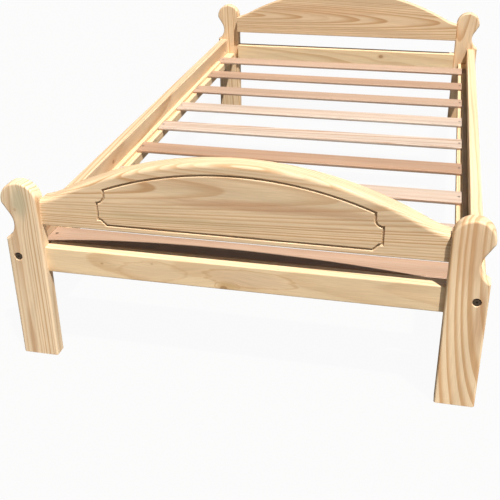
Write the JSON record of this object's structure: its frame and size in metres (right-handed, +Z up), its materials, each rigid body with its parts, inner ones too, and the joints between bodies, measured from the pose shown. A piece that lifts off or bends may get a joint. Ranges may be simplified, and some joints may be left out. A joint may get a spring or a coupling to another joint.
{
  "type": "slatted single bed frame",
  "caption": "Low pine bed frame with arched, grooved end panels between round-headed posts, bolted side rails and a slatted base for a single mattress.",
  "frame": {"origin": "on the floor under the middle of the bed", "axes": "+Z up, +Y from the foot towards the head, +X to the right seen from the foot"},
  "size_m": [1.1, 2.01, 0.54],
  "materials": {
    "post_pine": "planed clear pine, upright grain, satin",
    "panel_pine": "planed clear pine, long grain, satin",
    "rail_pine": "planed knotty pine, long grain, satin",
    "slat_wood": "sawn pinkish softwood, matt",
    "dowel_wood": "turned hardwood, matt",
    "black_steel": "black oxide, satin",
    "zinc_steel": "zinc plated, satin"
  },
  "bodies": {
    "root": {"foot_left_post": "post_pine", "foot_right_post": "post_pine", "foot_panel": "panel_pine", "foot_rail": "rail_pine", "foot_frame_dowels": "dowel_wood", "head_left_post": "post_pine", "head_right_post": "post_pine", "head_panel": "panel_pine", "head_rail": "rail_pine", "head_frame_dowels": "dowel_wood", "left_side_rail": "rail_pine", "left_ledger": "rail_pine", "left_slat_strip": "rail_pine", "right_side_rail": "rail_pine", "right_ledger": "rail_pine", "right_slat_strip": "rail_pine", "slat_01": "slat_wood", "slat_02": "slat_wood", "slat_03": "slat_wood", "slat_04": "slat_wood", "slat_05": "slat_wood", "slat_06": "slat_wood", "slat_07": "slat_wood", "slat_08": "slat_wood", "slat_09": "slat_wood", "slat_screws": "zinc_steel", "ledger_screws": "zinc_steel", "frame_bolts": "black_steel", "barrel_nuts": "zinc_steel", "corner_locator_dowels": "dowel_wood"}
  },
  "joints": []
}
